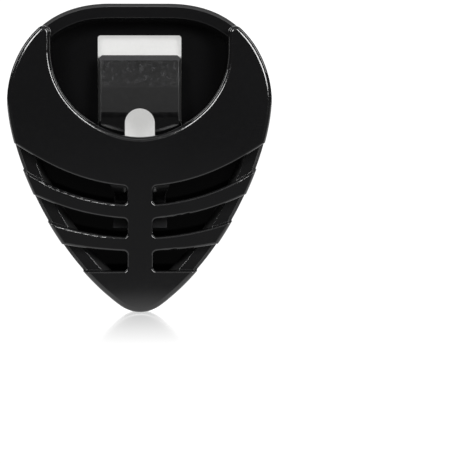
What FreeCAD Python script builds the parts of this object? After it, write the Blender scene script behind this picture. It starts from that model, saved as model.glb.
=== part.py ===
"""Guitar pick holder: a shield-shaped plastic pocket with a sprung tongue and an adhesive back.

Millimetres. X is the width, +Z points up towards the mouth, and the holder faces -Y.
Points are given as (x, height, depth): height is measured up from the pointed tip, and
depth is measured forwards from the adhesive face that sticks to the instrument.
"""
import FreeCAD, Part
import math
import os

# Overall outline
HALF_WIDTH = 19.0
HEIGHT = 44.5
WIDEST_H = 30.7
FLAT_TOP_HALF = 4.24
SHOULDER_HANDLES = (12.06, 4.0)
FLANK_HANDLES = (7.52, 12.32)
TIP_RADIUS = 4.73
TIP_HALF_ANGLE = math.radians(35.7)
CURVE_STEPS = 24

# Depths of the layers, from the adhesive face forwards
PAD_FRONT = 1.0
PLATE_FRONT = 2.2
LEDGE = 6.5
FACE_BACK = 7.2
FRONT = 8.7

# Front shell: insets from the outline, rounded edges, and the blank of its raised front
RING_INSET = 0.03
SEAT_INSET = 1.3
POCKET_INSET = 2.05
POCKET_FLOOR_INSET = 2.7
RIM_ROUND = 0.65
SLOT_ROUND = 0.35
LEDGE_ROUND = 0.5
RAISED_ROOT = 0.6
BLANK_HALF = 20.2

# Mouth and ears
MOUTH_HALF = 12.77
MOUTH_TURN_H = 37.74
MOUTH_FLOOR_H = 25.3
MOUTH_HANDLES = (7.42, 5.78)
EAR_RADIUS = 1.0

# Spine, bars and slots
SPINE_HALF = 1.84
SLOT_CORNER = 0.6
SLOT_REACH = 20.5
FACE_LOW_EDGE = ((0.0, 18.17), (11.21, 18.17), (18.31, 25.16), (SLOT_REACH, 26.06))
BAR_ARCS = ((15.59, 30.3), (13.48, 34.1), (10.86, 38.9), (8.82, 57.1))
TIP_EDGE_H = 6.02

# Back plate
PLATE_GAP = 0.08
WINDOW_HALF = 6.1
WINDOW_LOW_H = 21.4
WINDOW_TOP_H = 40.0
WINDOW_CORNER = 0.4
BLOCK_HALF = 3.9
BLOCK_H = (12.0, 15.5)
BLOCK_FRONT = 5.0
THROAT_DEPTHS = (2.8, 4.25)

# Spring tongue
PIVOT_H = 14.4
PIVOT_DEPTH = 3.3
BEAD_RADIUS = 0.9
BEAD_HALF = 3.7
BORE_GAP = 0.05
TONGUE_HALF = 6.0
TONGUE_TOP_H = 37.1
TONGUE_PATH = ((PIVOT_H, PIVOT_DEPTH), (28.0, 6.35), (32.4, 5.75), (TONGUE_TOP_H, 4.6))
TONGUE_THICKNESS = 0.9
CREST_ROUND = 5.0
FACET_ROUND = 1.0
END_CHAMFER = (0.9, 0.5)
SIDE_ROUND = 0.42
CORNER_CUT = 0.55
NECK_HALF = 3.7
NECK_TOP_H = 16.8
SHOULDER_H = 21.7
NOTCH_HALF = 2.16
NOTCH_TOP_H = 29.4
NOTCH_LOW_H = 18.6

# Adhesive pad
PAD_HALF = 11.0
PAD_LENGTH = 28.0
PAD_CORNER = 2.0
PAD_CENTRE_H = 27.9


def at(x, height, depth=0.0):
    """A point of the holder; the origin is the centre of the adhesive face."""
    return FreeCAD.Vector(x, -depth, height - PAD_CENTRE_H)


def line(start, end):
    return Part.makeLine(start, end)


def arc(start, middle, end):
    return Part.Arc(start, middle, end).toShape()


def bezier(*poles):
    curve = Part.BezierCurve()
    curve.setPoles(list(poles))
    return curve.toShape()


def inset_edge(poles, inset):
    """A curve of the right half of the outline, moved inwards by an inset."""
    curve = Part.BezierCurve()
    curve.setPoles(poles)
    points = []
    tangents = []
    for i in range(CURVE_STEPS + 1):
        tangent = curve.tangent(i / CURVE_STEPS)[0]
        inward = FreeCAD.Vector(0, 1, 0).cross(tangent)
        points.append(curve.value(i / CURVE_STEPS) + inward * inset)
        tangents.append(tangent)
    moved = Part.BSplineCurve()
    moved.interpolate(Points=points, InitialTangent=tangents[0], FinalTangent=tangents[-1])
    return moved.toShape()


def outline(inset=0.0):
    """The shield: flat top, round shoulders, flanks that close on a rounded tip."""
    sine = math.sin(TIP_HALF_ANGLE)
    cosine = math.cos(TIP_HALF_ANGLE)
    tip_x = TIP_RADIUS * sine
    tip_h = TIP_RADIUS * (1 - cosine)
    shoulder = [at(FLAT_TOP_HALF, HEIGHT),
                at(FLAT_TOP_HALF + SHOULDER_HANDLES[0], HEIGHT),
                at(HALF_WIDTH, WIDEST_H + SHOULDER_HANDLES[1]),
                at(HALF_WIDTH, WIDEST_H)]
    flank = [at(HALF_WIDTH, WIDEST_H),
             at(HALF_WIDTH, WIDEST_H - FLANK_HANDLES[0]),
             at(tip_x + FLANK_HANDLES[1] * cosine, tip_h + FLANK_HANDLES[1] * sine),
             at(tip_x, tip_h)]
    right = [inset_edge(shoulder, inset), inset_edge(flank, inset)]
    left = [edge.mirror(at(0, 0), FreeCAD.Vector(1, 0, 0)) for edge in right]
    top = line(at(-FLAT_TOP_HALF, HEIGHT - inset), at(FLAT_TOP_HALF, HEIGHT - inset))
    tip_r = TIP_RADIUS - inset
    tip = arc(at(-tip_r * sine, TIP_RADIUS - tip_r * cosine), at(0, inset),
              at(tip_r * sine, TIP_RADIUS - tip_r * cosine))
    return Part.Wire(Part.__sortEdges__([top] + right + [tip] + left))


def slab(wire, back, front):
    """A closed wire drawn at depth 0, made solid between two depths."""
    face = Part.Face(wire)
    face.translate(at(0, 0, back) - at(0, 0, 0))
    return face.extrude(at(0, 0, front) - at(0, 0, back))


def box(half_x, low_h, high_h, back, front):
    corner = at(-half_x, low_h, front)
    return Part.makeBox(2 * half_x, front - back, high_h - low_h, corner)


def cross_bar(radius, half_x, height, depth):
    """A round bar across the holder."""
    return Part.makeCylinder(radius, 2 * half_x, at(-half_x, height, depth), FreeCAD.Vector(1, 0, 0))


def depth_edges(solid):
    """Edges that run straight from back to front."""
    return [e for e in solid.Edges if abs(e.BoundBox.YLength - e.Length) < 1e-6]


def mouth_tool():
    """What is open in front of the ledge: the scooped mouth and all that is above it."""
    edges = [line(at(-MOUTH_HALF, HEIGHT + 2), at(MOUTH_HALF, HEIGHT + 2))]
    for side in (1, -1):
        edges.append(bezier(at(0, MOUTH_FLOOR_H),
                            at(side * MOUTH_HANDLES[1], MOUTH_FLOOR_H),
                            at(side * MOUTH_HALF, MOUTH_TURN_H - MOUTH_HANDLES[0]),
                            at(side * MOUTH_HALF, MOUTH_TURN_H)))
        edges.append(line(at(side * MOUTH_HALF, MOUTH_TURN_H), at(side * MOUTH_HALF, HEIGHT + 2)))
    return slab(Part.Wire(Part.__sortEdges__(edges)), LEDGE - 1, FRONT + 1)


def low_face_curve():
    return bezier(*[at(x, h) for x, h in FACE_LOW_EDGE])


def bar_curve(lowest_h, radius):
    """Edge of a bar: an arc that is lowest on the centre line and rises outwards."""
    def height(x):
        return lowest_h + radius - math.sqrt(radius * radius - x * x)
    return arc(at(0, height(0)), at(SLOT_REACH / 2, height(SLOT_REACH / 2)),
               at(SLOT_REACH, height(SLOT_REACH)))


def slot_tool(upper, lower):
    """The open band between two edges, right of the spine, out past the flank."""
    inner_end = line(lower.valueAt(lower.FirstParameter), upper.valueAt(upper.FirstParameter))
    outer_end = line(lower.valueAt(lower.LastParameter), upper.valueAt(upper.LastParameter))
    band = slab(Part.Wire(Part.__sortEdges__([upper, outer_end, lower, inner_end])), LEDGE - 1, FRONT + 1)
    spine = box(SPINE_HALF, 0, HEIGHT, LEDGE - 2, FRONT + 2)
    opened = band.cut(spine)
    corners = [e for e in depth_edges(opened) if abs(e.CenterOfMass.x - SPINE_HALF) < 1e-6]
    return opened.makeFillet(SLOT_CORNER, corners)


def slot_tools():
    edges = [low_face_curve()]
    edges += [bar_curve(*values) for values in BAR_ARCS]
    edges.append(line(at(0, TIP_EDGE_H), at(SLOT_REACH, TIP_EDGE_H)))
    tools = []
    for upper, lower in zip(edges[0::2], edges[1::2]):
        right = slot_tool(upper, lower)
        tools += [right, right.mirror(at(0, 0), FreeCAD.Vector(1, 0, 0))]
    return tools


def front_edges(solid):
    """Edges that lie in the front plane."""
    return [e for e in solid.Edges if e.BoundBox.YLength < 1e-6 and -e.CenterOfMass.y > FRONT - 1e-3]


def pocket():
    """The hollow of the ring, whose wall leans in towards the floor."""
    floor = outline(POCKET_FLOOR_INSET)
    floor.translate(at(0, 0, PLATE_FRONT) - at(0, 0, 0))
    brim = outline(POCKET_INSET)
    brim.translate(at(0, 0, LEDGE) - at(0, 0, 0))
    return Part.makeLoft([floor, brim], True, True)


def make_raised_front():
    """Face, ears, spine and bars: a scooped shield with one round rim, and slots with eased edges."""
    shield = slab(outline(), LEDGE - RAISED_ROOT, FRONT).cut(mouth_tool())
    ear_tips = [e for e in depth_edges(shield) if abs(abs(e.CenterOfMass.x) - MOUTH_HALF) < 1e-3
                and e.CenterOfMass.z > at(0, MOUTH_TURN_H + 1).z]
    shield = shield.makeFillet(EAR_RADIUS, ear_tips)
    shield = shield.makeFillet(RIM_ROUND, front_edges(shield))
    blank = box(BLANK_HALF, -2, HEIGHT + 2, LEDGE - RAISED_ROOT, FRONT).cut(slot_tools())
    slot_edges = [e for e in front_edges(blank) if abs(e.CenterOfMass.x) < BLANK_HALF - 1e-3
                  and at(0, 0).z < e.CenterOfMass.z < at(0, WIDEST_H).z]
    return shield.common(blank.makeFillet(SLOT_ROUND, slot_edges))


def make_front_shell():
    ring = slab(outline(RING_INSET), PAD_FRONT, LEDGE)
    ends = [e for e in ring.Edges if e.BoundBox.YLength < 1e-6]
    ring = ring.makeFillet(LEDGE_ROUND, ends)
    seat = slab(outline(SEAT_INSET), PAD_FRONT - 1, PLATE_FRONT)
    under_face = slab(outline(POCKET_INSET), LEDGE, FACE_BACK)
    return make_raised_front().fuse(ring).cut([seat, pocket(), under_face]).removeSplitter()


def make_back_plate():
    plate = slab(outline(SEAT_INSET + PLATE_GAP), PAD_FRONT, PLATE_FRONT)
    window = box(WINDOW_HALF, WINDOW_LOW_H, WINDOW_TOP_H, 0, PLATE_FRONT + 1)
    window = window.makeFillet(WINDOW_CORNER, depth_edges(window))
    block = box(BLOCK_HALF, *BLOCK_H, PLATE_FRONT - 0.2, BLOCK_FRONT)
    bore = cross_bar(BEAD_RADIUS + BORE_GAP, BLOCK_HALF + 1, PIVOT_H, PIVOT_DEPTH)
    throat = box(BLOCK_HALF + 1, PIVOT_H, BLOCK_H[1] + 1, *THROAT_DEPTHS)
    return plate.cut(window).fuse(block).cut([bore, throat]).removeSplitter()


def offset_path(points, distance):
    """The (height, depth) path moved sideways by a distance, with mitred corners."""
    normals = []
    for (h0, d0), (h1, d1) in zip(points, points[1:]):
        length = math.hypot(h1 - h0, d1 - d0)
        normals.append(((d0 - d1) / length, (h1 - h0) / length))
    moved = []
    for i, (height, depth) in enumerate(points):
        before = normals[max(i - 1, 0)]
        after = normals[min(i, len(normals) - 1)]
        sum_h = before[0] + after[0]
        sum_d = before[1] + after[1]
        scale = 2 * distance / (sum_h * sum_h + sum_d * sum_d)
        moved.append((height + sum_h * scale, depth + sum_d * scale))
    return moved


def cross_edges_near(solid, points):
    """Edges across the holder that start at one of the (height, depth) points."""
    found = []
    for edge in solid.Edges:
        if abs(edge.BoundBox.XLength - edge.Length) > 1e-6:
            continue
        middle = edge.CenterOfMass
        for height, depth in points:
            if (middle - at(middle.x, height, depth)).Length < 1e-3:
                found.append(edge)
    return found


def along(start, end, distance):
    """The point at a distance from start towards end."""
    share = distance / math.hypot(end[0] - start[0], end[1] - start[1])
    return (start[0] + (end[0] - start[0]) * share, start[1] + (end[1] - start[1]) * share)


def tongue_strip():
    """The bowed leaf, full width, seen from the side as two bends and a chamfered end."""
    front = offset_path(TONGUE_PATH, TONGUE_THICKNESS / 2)
    back = offset_path(TONGUE_PATH, -TONGUE_THICKNESS / 2)
    chamfer = [along(front[-1], front[-2], END_CHAMFER[0]), along(front[-1], back[-1], END_CHAMFER[1])]
    loop = [at(-TONGUE_HALF, h, d) for h, d in front[:-1] + chamfer + back[::-1]]
    section = Part.Face(Part.makePolygon(loop + loop[:1]))
    strip = section.extrude(FreeCAD.Vector(2 * TONGUE_HALF, 0, 0))
    strip = strip.makeFillet(CREST_ROUND, cross_edges_near(strip, [front[1]]))
    strip = strip.makeFillet(CREST_ROUND, cross_edges_near(strip, [back[1]]))
    return strip.makeFillet(FACET_ROUND, cross_edges_near(strip, [front[2], back[2]]))


def tongue_plan():
    """The leaf from the front: cut corners at its free end, a narrow neck at the hinge."""
    right = [(NECK_HALF, 0), (NECK_HALF, NECK_TOP_H), (TONGUE_HALF, SHOULDER_H),
             (TONGUE_HALF, TONGUE_TOP_H - CORNER_CUT), (TONGUE_HALF - CORNER_CUT, TONGUE_TOP_H),
             (TONGUE_HALF - CORNER_CUT, HEIGHT)]
    loop = right + [(-x, h) for x, h in right[::-1]]
    points = [at(x, h) for x, h in loop]
    return slab(Part.makePolygon(points + points[:1]), 0, FRONT)


def side_edges(leaf):
    """The long edges down both sides of the leaf."""
    return [e for e in leaf.Edges
            if e.BoundBox.XLength < 1e-6 and abs(abs(e.CenterOfMass.x) - TONGUE_HALF) < 1e-6
            and e.BoundBox.ZLength > TONGUE_THICKNESS / 2]


def notch_tool():
    notch = box(NOTCH_HALF, NOTCH_LOW_H, NOTCH_TOP_H, 0, FRONT)
    return notch.makeFillet(NOTCH_HALF * 0.999, depth_edges(notch))


def make_spring_tongue():
    bead = cross_bar(BEAD_RADIUS, BEAD_HALF, PIVOT_H, PIVOT_DEPTH)
    leaf = tongue_strip().common(tongue_plan())
    leaf = leaf.makeFillet(SIDE_ROUND, side_edges(leaf))
    return leaf.fuse(bead).cut(notch_tool()).removeSplitter()


def make_adhesive_pad():
    low = PAD_CENTRE_H - PAD_LENGTH / 2
    pad = box(PAD_HALF, low, low + PAD_LENGTH, 0, PAD_FRONT)
    return pad.makeFillet(PAD_CORNER, depth_edges(pad))


MAKERS = {
    "front_shell": make_front_shell,
    "back_plate": make_back_plate,
    "spring_tongue": make_spring_tongue,
    "adhesive_pad": make_adhesive_pad,
}


def main():
    os.makedirs("parts", exist_ok=True)
    for node, maker in MAKERS.items():
        shape = maker()
        bounds = shape.optimalBoundingBox(False)
        print(node, "valid", shape.isValid(), "solids", len(shape.Solids),
              "volume %.1f" % shape.Volume,
              "size %.2f %.2f %.2f" % (bounds.XLength, bounds.YLength, bounds.ZLength))
        shape.exportStep("parts/%s.step" % node)


main()
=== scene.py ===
"""Black plastic guitar pick holder, standing on a pale studio floor and seen from the front.

Metres, in the model's own frame: X is the width, +Z is up and the holder faces -Y.
"""
import math

import bmesh
import bpy
from mathutils import Matrix, Vector, noise


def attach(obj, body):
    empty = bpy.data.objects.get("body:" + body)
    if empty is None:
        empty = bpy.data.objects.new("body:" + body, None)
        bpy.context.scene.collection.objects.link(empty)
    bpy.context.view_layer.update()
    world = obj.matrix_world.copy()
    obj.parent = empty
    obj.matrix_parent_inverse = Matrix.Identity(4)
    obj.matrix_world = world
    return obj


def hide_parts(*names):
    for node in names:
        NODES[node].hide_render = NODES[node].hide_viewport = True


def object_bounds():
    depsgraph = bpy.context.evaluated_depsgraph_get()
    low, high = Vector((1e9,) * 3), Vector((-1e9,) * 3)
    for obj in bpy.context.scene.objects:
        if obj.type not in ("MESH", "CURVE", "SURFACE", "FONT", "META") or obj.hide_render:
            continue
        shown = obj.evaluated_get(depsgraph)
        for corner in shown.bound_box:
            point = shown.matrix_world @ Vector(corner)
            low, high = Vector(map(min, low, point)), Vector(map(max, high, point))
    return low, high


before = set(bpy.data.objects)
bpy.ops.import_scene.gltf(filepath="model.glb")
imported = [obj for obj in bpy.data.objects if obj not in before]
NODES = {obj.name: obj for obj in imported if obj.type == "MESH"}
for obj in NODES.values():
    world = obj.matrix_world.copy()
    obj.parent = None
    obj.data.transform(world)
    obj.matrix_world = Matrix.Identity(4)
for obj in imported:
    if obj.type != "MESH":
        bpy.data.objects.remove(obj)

cad_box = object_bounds()

# Camera: straight in front of the holder, with the holder left of and above the middle of the view
CAMERA_DISTANCE = 0.300
CAMERA_ELEVATION = math.radians(2.0)
VIEW_HEIGHT = 0.0667
SENSOR = 0.036
VIEW_OFFSET = Vector((0.01258, 0.0, -0.0107))
CAMERA_LIFT = 0.0001

# Studio: white to the camera. To other rays the floor is bright only at the holder and behind it, and
# the world is dim. The floor shines in front of the holder's tip.
WHITE_TO_CAMERA = 1.1
FLOOR_SIZE = 1.2
FLOOR_GAP = 0.0002
FLOOR_SHINE = 0.47
FLOOR_SHINE_ROUGHNESS = 0.12
FLOOR_SHINE_REACH = (-0.051, -0.009)
FLOOR_SHINE_BACK = (0.001, -0.003)
FLOOR_SHINE_SIDES = (0.021, 0.005)
FLOOR_BOUNCE = 1.3
FLOOR_BOUNCE_REACH = (-0.045, -0.015)
FLOOR_FAR = 0.12
WORLD_FILL = (0.03, 0.03, 0.031)

# Foam pad, inside the room that its solid holds
PAD_HALF = (0.011, 0.014)
PAD_DEPTH = 0.001
PAD_CORNER = 0.002
PAD_LAYERS = 14
PAD_STEPS = 640
PAD_EDGE_ROUND = 0.00012
PAD_CELL = 0.00034
PAD_RAGGED = 0.00010
FOAM_GLOW = 2.55

# Where finishes change by place: the tongue's upper bend, the hinge block, the height across which the
# plate goes from painted shade to painted light, the shell's ledge, its middle height and the top of its
# slots
TONGUE_BEND_Z = 0.0045
BLOCK_Y = -0.0025
PAINTED_SHADE_Z = (-0.009, -0.001)
LEDGE_Y = -0.0066
MIDDLE_Z = -0.0056
SLOTS_Z = (-0.004, -0.006)

# Where they change by facing: a normal's Y just off straight ahead, its Z towards the tongue's lip and
# towards its underside, and its X squared towards the tongue's sides
OFF_FRONT = (-0.995, -0.970)
LIP_FACING = (0.40, 0.60)
UNDER_FACING = (-0.15, -0.05)
SIDE_FACING = (0.001, 0.015)

# Roughness where a finish is dull, and the radius over which shading evens out edges and facets
WALL_DULLNESS = 0.72
SLOT_DULLNESS = 0.75
BLOCK_DULLNESS = 0.4
LIP_DULLNESS = 0.5
SIDE_DULLNESS = 0.95
EDGE_SOFTENING = 0.00014

# The narrow gap beside the tongue, where no light reaches the foam
GAP_X = (0.0056, 0.0058)
GAP_TOP_Z = (0.0092, 0.0088)
GAP_Y = (-0.0006, -0.0008)


# ---------------------------------------------------------------- node helpers

class Shader:
    """A material under construction, with short ways to add and join nodes."""

    def __init__(self, name):
        self.material = bpy.data.materials.new(name)
        self.material.use_nodes = True
        self.nodes = self.material.node_tree.nodes
        self.links = self.material.node_tree.links
        self.bsdf = self.nodes["Principled BSDF"]
        coordinates = self.nodes.new("ShaderNodeTexCoord")
        self.place = coordinates.outputs["Object"]
        self.normal = coordinates.outputs["Normal"]

    def set(self, **values):
        for name, value in values.items():
            self.bsdf.inputs[name.replace("_", " ")].default_value = value

    def noise(self, scale, detail=2.0, roughness=0.5, distortion=0.0, vector=None):
        node = self.nodes.new("ShaderNodeTexNoise")
        node.inputs["Scale"].default_value = scale
        node.inputs["Detail"].default_value = detail
        node.inputs["Roughness"].default_value = roughness
        node.inputs["Distortion"].default_value = distortion
        self.links.new(vector or self.place, node.inputs["Vector"])
        return node.outputs["Fac"]

    def remap(self, value, low, high, to_low=0.0, to_high=1.0):
        node = self.nodes.new("ShaderNodeMapRange")
        node.inputs["From Min"].default_value = low
        node.inputs["From Max"].default_value = high
        node.inputs["To Min"].default_value = to_low
        node.inputs["To Max"].default_value = to_high
        self.links.new(value, node.inputs["Value"])
        return node.outputs["Result"]

    def math(self, operation, first, second):
        node = self.nodes.new("ShaderNodeMath")
        node.operation = operation
        for socket, value in zip(node.inputs, (first, second)):
            if isinstance(value, (int, float)):
                socket.default_value = value
            else:
                self.links.new(value, socket)
        return node.outputs["Value"]

    def mix_colour(self, factor, first, second):
        node = self.nodes.new("ShaderNodeMix")
        node.data_type = "RGBA"
        self.links.new(factor, node.inputs["Factor"])
        for socket, colour in (("A", first), ("B", second)):
            if isinstance(colour, tuple):
                node.inputs[socket].default_value = (*colour, 1)
            else:
                self.links.new(colour, node.inputs[socket])
        return node.outputs["Result"]

    def bump(self, height, strength, distance, normal=None):
        node = self.nodes.new("ShaderNodeBump")
        node.inputs["Strength"].default_value = strength
        node.inputs["Distance"].default_value = distance
        self.links.new(height, node.inputs["Height"])
        if normal:
            self.links.new(normal, node.inputs["Normal"])
        return node.outputs["Normal"]

    def vector(self, operation, first, second, output="Vector"):
        node = self.nodes.new("ShaderNodeVectorMath")
        node.operation = operation
        for socket, value in zip(node.inputs, (first, second)):
            if isinstance(value, tuple):
                socket.default_value = value
            else:
                self.links.new(value, socket)
        return node.outputs[output]

    def axis(self, letter, vector=None):
        """One coordinate of a vector, or of the place on the object."""
        split = self.nodes.new("ShaderNodeSeparateXYZ")
        self.links.new(vector or self.place, split.inputs["Vector"])
        return split.outputs[letter]

    def softened(self, radius):
        """The surface normal, evened out over a small radius."""
        bevel = self.nodes.new("ShaderNodeBevel")
        bevel.samples = 8
        bevel.inputs["Radius"].default_value = radius
        return bevel.outputs["Normal"]

    def scaled(self, value, factor):
        return self.math("MULTIPLY", value, factor)

    def edge_mask(self, radius, gain):
        """One on sharp edges and zero on flats."""
        flat = self.nodes.new("ShaderNodeNewGeometry")
        match = self.vector("DOT_PRODUCT", self.softened(radius), flat.outputs["Normal"], "Value")
        return self.remap(match, 1.0, 1.0 - gain)

    def drive(self, socket, value):
        self.links.new(value, self.bsdf.inputs[socket])


# ---------------------------------------------------------------- materials

def grey(value):
    return (value, value, value * 1.05)


def black_plastic(name, dark, light, rough, ior, wear, grain):
    """Glossy moulded plastic: flow marks, a ripple, handling haze, hairlines and rubbed edges."""
    shader = Shader(name)
    shader.set(IOR=ior)
    flow = shader.noise(90, detail=4, distortion=0.6)
    flowed = shader.mix_colour(flow, grey(dark), grey(light))
    wear_and_painted_light = shader.math("MULTIPLY", shader.edge_mask(0.00025, 0.12), shader.noise(900, detail=3))
    shader.colour = shader.mix_colour(wear_and_painted_light, flowed, grey(wear))
    shader.drive("Base Color", shader.colour)
    haze = shader.remap(shader.noise(1400, detail=6, roughness=0.65), 0.3, 0.75, *rough)
    streaked = shader.vector("MULTIPLY", shader.place, (500, 500, 9000))
    hairlines = shader.noise(1.0, detail=3, vector=streaked)
    lines = shader.remap(hairlines, 0.62, 0.75, 0.0, 0.06)
    shader.rough = shader.math("ADD", haze, shader.math("ADD", lines, shader.scaled(wear_and_painted_light, 0.10)))
    shader.drive("Roughness", shader.rough)
    ripple = shader.bump(shader.noise(260, detail=1), 0.03, 0.0002, shader.softened(EDGE_SOFTENING))
    shader.surface = shader.bump(shader.noise(7000, detail=4, roughness=0.6), grain, 0.00002, ripple)
    shader.drive("Normal", shader.surface)
    return shader


def shell_plastic():
    """Polished in front, with a satin outer wall behind the ledge and duller edges inside the slots."""
    shader = black_plastic("shell_black", dark=0.0038, light=0.0054, rough=(0.08, 0.14), ior=1.49,
                           wear=0.012, grain=0.04)
    sideways = shader.vector("MULTIPLY", shader.normal, (1, 0, 1))
    arm = shader.vector("SUBTRACT", shader.place, (0, 0, MIDDLE_Z))
    outwards = shader.remap(shader.vector("DOT_PRODUCT", sideways, arm, "Value"), 0.001, 0.004)
    behind_ledge = shader.remap(shader.axis("Y"), LEDGE_Y - 0.0001, LEDGE_Y)
    turned = shader.remap(shader.axis("Y", shader.normal), *OFF_FRONT)
    low = shader.math("MULTIPLY", turned, shader.remap(shader.axis("Z"), *SLOTS_Z))
    wall = shader.scaled(outwards, WALL_DULLNESS)
    dull = shader.math("MAXIMUM", wall, shader.scaled(low, SLOT_DULLNESS))
    satin = shader.math("MULTIPLY", dull, behind_ledge)
    shader.drive("Roughness", shader.math("MAXIMUM", shader.rough, satin))
    return shader


def plate_plastic():
    """Dark gloss with painted shade low down in the slots and painted light higher up in the mouth; the
    hinge block standing on it is duller and painted lighter.
    """
    # Painted shade: the plate's base colour is darker than the shell's, darkest low down in the slots.
    shader = black_plastic("plate_black", dark=0.0004, light=0.0010, rough=(0.06, 0.12), ior=1.30,
                           wear=0.006, grain=0.04)
    # Painted light: higher up, towards the mouth, the plate is painted lighter grey.
    wear_and_painted_light = shader.remap(shader.axis("Z"), *PAINTED_SHADE_Z, 0.0, 0.8)
    painted_light_above = shader.mix_colour(wear_and_painted_light, shader.colour, grey(0.0046))
    # Painted light: the hinge block is painted lighter than the shaded floor around it.
    block = shader.remap(shader.axis("Y"), BLOCK_Y, BLOCK_Y - 0.0002)
    shader.drive("Base Color", shader.mix_colour(block, painted_light_above, grey(0.016)))
    shader.drive("Roughness", shader.math("MAXIMUM", shader.rough, shader.scaled(block, BLOCK_DULLNESS)))
    return shader


def tongue_plastic():
    """Gloss, painted darker than the shell as shade, with a mottled moulding texture on the upper part,
    dull sides and a duller lip painted lighter as a highlight.
    """
    # Painted shade: the tongue's base colour is darker than the shell's.
    shader = black_plastic("tongue_black", dark=0.0010, light=0.0020, rough=(0.10, 0.18), ior=1.49,
                           wear=0.008, grain=0.1)
    upper = shader.remap(shader.axis("Z"), TONGUE_BEND_Z, TONGUE_BEND_Z + 0.0006, 0.12, 1.0)
    blotches = shader.noise(3000, detail=6, roughness=0.75)
    mottle = shader.math("MULTIPLY", shader.remap(blotches, 0.35, 0.65), upper)
    shader.drive("Normal", shader.bump(mottle, 0.12, 0.00004, shader.surface))
    level = shader.axis("Z", shader.normal)
    lip = shader.remap(level, *LIP_FACING)
    # Painted highlight: the upward-facing lip is painted lighter grey, in blotches.
    painted_lip_highlight = shader.math("MULTIPLY", lip, shader.remap(blotches, 0.2, 0.6, 0.4, 1.0))
    patches = shader.remap(shader.noise(1500, detail=6, roughness=0.75), 0.50, 0.64)
    flecked = shader.mix_colour(shader.math("MULTIPLY", patches, upper), shader.colour, grey(0.018))
    shader.drive("Base Color", shader.mix_colour(painted_lip_highlight, flecked, grey(0.04)))
    sideways = shader.axis("X", shader.normal)
    turned = shader.remap(shader.math("MULTIPLY", sideways, sideways), *SIDE_FACING)
    sides = shader.math("MULTIPLY", turned, shader.remap(level, *UNDER_FACING))
    upward_dullness = shader.scaled(lip, LIP_DULLNESS)
    dull = shader.math("MAXIMUM", upward_dullness, shader.scaled(sides, SIDE_DULLNESS))
    shader.drive("Roughness", shader.math("MAXIMUM", shader.rough, dull))
    return shader


def beside_tongue(shader):
    """One on the pad's front where it lies at the bottom of the gap beside the tongue."""
    across = shader.axis("X")
    beside = shader.remap(shader.math("MULTIPLY", across, across), *(x * x for x in GAP_X))
    below = shader.remap(shader.axis("Z"), *GAP_TOP_Z)
    in_front = shader.remap(shader.axis("Y"), *GAP_Y)
    return shader.math("MULTIPLY", beside, shader.math("MULTIPLY", below, in_front))


def foam_tape():
    """White closed-cell foam with a faint tacky shine; its glow stands in for light scattered inside."""
    shader = Shader("foam_tape")
    shader.set(IOR=1.45, Emission_Strength=FOAM_GLOW)
    shader.set(Subsurface_Weight=0.8, Subsurface_Radius=(1.0, 1.0, 0.98), Subsurface_Scale=0.0030)
    cells = shader.noise(2600, detail=5, roughness=0.6)
    broad = shader.noise(240, detail=2)
    tone = shader.mix_colour(cells, (0.195, 0.195, 0.193), (0.215, 0.215, 0.213))
    tone = shader.mix_colour(shader.remap(broad, 0.35, 0.8, 0.0, 0.35), tone, (0.18, 0.18, 0.176))
    shader.drive("Base Color", tone)
    shader.drive("Emission Color", shader.mix_colour(beside_tongue(shader), tone, grey(0.0)))
    shader.drive("Roughness", shader.remap(cells, 0.3, 0.7, 0.30, 0.50))
    shader.drive("Normal", shader.bump(cells, 0.25, 0.00006))
    return shader


def paint(node, shader):
    for slot in NODES[node].material_slots:
        slot.material = shader.material


paint("front_shell", shell_plastic())
paint("back_plate", plate_plastic())
paint("spring_tongue", tongue_plastic())


# ---------------------------------------------------------------- foam pad

def pad_outline(step, inset):
    """A point round the pad's rounded rectangle, as (x, z), moved inwards by an inset."""
    half_x, half_z = (half - inset for half in PAD_HALF)
    corner = max(PAD_CORNER - inset, 0.0002)
    angle = 2 * math.pi * step / PAD_STEPS
    reach = Vector((math.cos(angle) * half_x, math.sin(angle) * half_z))
    scale = min(half_x / max(abs(reach.x), 1e-9), half_z / max(abs(reach.y), 1e-9))
    edge = reach * scale
    core = Vector((max(-half_x + corner, min(half_x - corner, edge.x)),
                   max(-half_z + corner, min(half_z - corner, edge.y))))
    out = edge - core
    return core + out * (corner / out.length) if out.length > corner else edge


def pad_point(step, depth):
    """A point on the cut side: torn cells and a slightly ragged line, softer at both faces."""
    near_face = min(depth, PAD_DEPTH - depth)
    rounding = PAD_EDGE_ROUND * max(0.0, 1 - near_face / PAD_EDGE_ROUND) ** 2
    clean = pad_outline(step, 0.0)
    spot = Vector((clean.x, clean.y, depth))
    cells = 0.5 + 0.5 * noise.noise(spot / PAD_CELL)
    ragged = 0.5 + 0.5 * noise.noise(Vector((clean.x, clean.y, 0)) / 0.0017)
    place = pad_outline(step, rounding + PAD_RAGGED * (0.6 * cells + 0.4 * ragged))
    return Vector((place.x, -depth, place.y))


def add_foam_pad():
    """The tape's foam with its cut sides modelled, in place of the plain block."""
    built = bmesh.new()
    depths = [PAD_DEPTH * layer / PAD_LAYERS for layer in range(PAD_LAYERS + 1)]
    loops = [[built.verts.new(pad_point(step, depth)) for step in range(PAD_STEPS)] for depth in depths]
    for low, high in zip(loops, loops[1:]):
        for step in range(PAD_STEPS):
            ahead = (step + 1) % PAD_STEPS
            built.faces.new((low[step], low[ahead], high[ahead], high[step]))
    built.faces.new(loops[0])
    built.faces.new(loops[-1])
    bmesh.ops.recalc_face_normals(built, faces=built.faces)
    mesh = bpy.data.meshes.new("foam_pad")
    built.to_mesh(mesh)
    built.free()
    pad = bpy.data.objects.new("foam_pad", mesh)
    bpy.context.scene.collection.objects.link(pad)
    mesh.materials.append(foam_tape().material)
    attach(pad, "holder")
    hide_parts("adhesive_pad")


add_foam_pad()


# ---------------------------------------------------------------- studio

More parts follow.
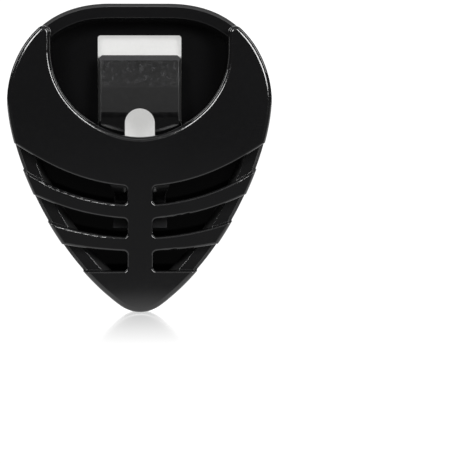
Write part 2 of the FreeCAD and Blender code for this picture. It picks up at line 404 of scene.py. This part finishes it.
def add_camera():
    low, high = cad_box
    centre = (low + high) / 2
    data = bpy.data.cameras.new("camera")
    data.sensor_width = SENSOR * 1000
    data.lens = SENSOR * 1000 * CAMERA_DISTANCE / VIEW_HEIGHT
    data.clip_start = 0.01
    data.clip_end = 20
    camera = bpy.data.objects.new("camera", data)
    bpy.context.scene.collection.objects.link(camera)
    back = Vector((0, -math.cos(CAMERA_ELEVATION), math.sin(CAMERA_ELEVATION)))
    middle = Vector((centre.x, low.y, centre.z + CAMERA_LIFT))
    camera.location = middle + back * CAMERA_DISTANCE
    target = middle + VIEW_OFFSET
    camera.rotation_euler = (target - camera.location).to_track_quat("-Z", "Y").to_euler()
    bpy.context.scene.camera = camera


def add_softbox(name, tilt, around, distance, size, radiance):
    """A rectangular light that faces the holder.

    tilt is its angle from straight in front of the holder, and around is its angle clockwise
    from straight above, as the camera sees it. Its width runs round that circle.
    """
    away = math.radians(tilt)
    turn = math.radians(around)
    outwards = Vector((math.sin(turn), 0, math.cos(turn)))
    direction = outwards * math.sin(away) + Vector((0, -math.cos(away), 0))
    across = Vector((math.cos(turn), 0, -math.sin(turn)))
    data = bpy.data.lights.new(name, "AREA")
    data.shape = "RECTANGLE"
    data.size, data.size_y = size
    data.energy = radiance * math.pi * size[0] * size[1]
    lamp = bpy.data.objects.new(name, data)
    facing = Matrix((across, direction.cross(across), direction)).transposed()
    lamp.matrix_world = Matrix.Translation(direction * distance) @ facing.to_4x4()
    lamp.visible_camera = False
    bpy.context.scene.collection.objects.link(lamp)


def floor_white():
    """White to the camera with a shine at the tip, and clear from below.

    To other rays it is bright only at the holder and behind it, so that gloss in front stays dark.
    """
    shader = Shader("floor_white")
    nodes = shader.nodes
    links = shader.links
    forwards = shader.axis("Y")
    shine = shader.remap(forwards, *FLOOR_SHINE_REACH, 0.0, FLOOR_SHINE)
    in_front = shader.remap(forwards, *FLOOR_SHINE_BACK)
    aside = shader.axis("X")
    sides = [x * x for x in FLOOR_SHINE_SIDES]
    near_middle = shader.remap(shader.math("MULTIPLY", aside, aside), *sides)
    shine = shader.math("MULTIPLY", shine, shader.math("MULTIPLY", in_front, near_middle))
    glossy = nodes.new("ShaderNodeBsdfGlossy")
    glossy.inputs["Roughness"].default_value = FLOOR_SHINE_ROUGHNESS
    glow = nodes.new("ShaderNodeEmission")
    glow.inputs["Strength"].default_value = WHITE_TO_CAMERA
    seen = nodes.new("ShaderNodeMixShader")
    links.new(shine, seen.inputs["Fac"])
    links.new(glow.outputs["Emission"], seen.inputs[1])
    links.new(glossy.outputs["BSDF"], seen.inputs[2])
    bounce = nodes.new("ShaderNodeEmission")
    near = shader.remap(forwards, *FLOOR_BOUNCE_REACH, FLOOR_FAR, FLOOR_BOUNCE)
    links.new(near, bounce.inputs["Strength"])
    path = nodes.new("ShaderNodeLightPath")
    final = nodes.new("ShaderNodeMixShader")
    links.new(path.outputs["Is Camera Ray"], final.inputs["Fac"])
    links.new(bounce.outputs["Emission"], final.inputs[1])
    links.new(seen.outputs["Shader"], final.inputs[2])
    facing = nodes.new("ShaderNodeNewGeometry")
    clear = nodes.new("ShaderNodeBsdfTransparent")
    one_sided = nodes.new("ShaderNodeMixShader")
    links.new(facing.outputs["Backfacing"], one_sided.inputs["Fac"])
    links.new(final.outputs["Shader"], one_sided.inputs[1])
    links.new(clear.outputs["BSDF"], one_sided.inputs[2])
    links.new(one_sided.outputs["Shader"], nodes["Material Output"].inputs["Surface"])
    nodes.remove(shader.bsdf)
    return shader.material


def add_floor():
    """A flat sheet just under the holder's tip."""
    low, high = cad_box
    half = FLOOR_SIZE / 2
    corners = [(-half, -half, 0), (half, -half, 0), (half, half, 0), (-half, half, 0)]
    mesh = bpy.data.meshes.new("floor")
    mesh.from_pydata(corners, [], [(0, 1, 2, 3)])
    floor = bpy.data.objects.new("floor", mesh)
    floor.location.z = low.z - FLOOR_GAP
    bpy.context.scene.collection.objects.link(floor)
    mesh.materials.append(floor_white())


def set_world():
    """White all round to the camera, dim to everything else, so that gloss reads as gloss."""
    world = bpy.data.worlds.new("studio")
    world.use_nodes = True
    bpy.context.scene.world = world
    nodes = world.node_tree.nodes
    links = world.node_tree.links
    seen = nodes.new("ShaderNodeBackground")
    seen.inputs["Color"].default_value = (1, 1, 1, 1)
    seen.inputs["Strength"].default_value = WHITE_TO_CAMERA
    fill = nodes["Background"]
    fill.inputs["Color"].default_value = (*WORLD_FILL, 1)
    mix = nodes.new("ShaderNodeMixShader")
    path = nodes.new("ShaderNodeLightPath")
    links.new(path.outputs["Is Camera Ray"], mix.inputs["Fac"])
    links.new(fill.outputs["Background"], mix.inputs[1])
    links.new(seen.outputs["Background"], mix.inputs[2])
    links.new(mix.outputs["Shader"], nodes["World Output"].inputs["Surface"])


add_camera()
add_floor()
set_world()
# name, tilt, around, distance, (width, height), radiance
SOFTBOXES = (
    ("key_left", 31, -44, 0.40, (0.13, 0.085), 26.0),
    ("key_right", 31, 54, 0.40, (0.205, 0.085), 26.0),
    ("strip_left", 86, -54, 0.40, (0.28, 0.06), 12.0),
    ("strip_right", 86, 54, 0.40, (0.28, 0.06), 12.0),
    ("above", 92, 0, 0.40, (0.30, 0.16), 0.6),
    ("top", 56, 0, 0.40, (0.34, 0.10), 1.9),
    ("top_front", 22, 0, 0.45, (0.20, 0.14), 0.60),
    ("behind", 165, 0, 0.45, (0.40, 0.40), 2.5),
)
for softbox in SOFTBOXES:
    add_softbox(*softbox)
bpy.context.scene.view_settings.view_transform = "Standard"
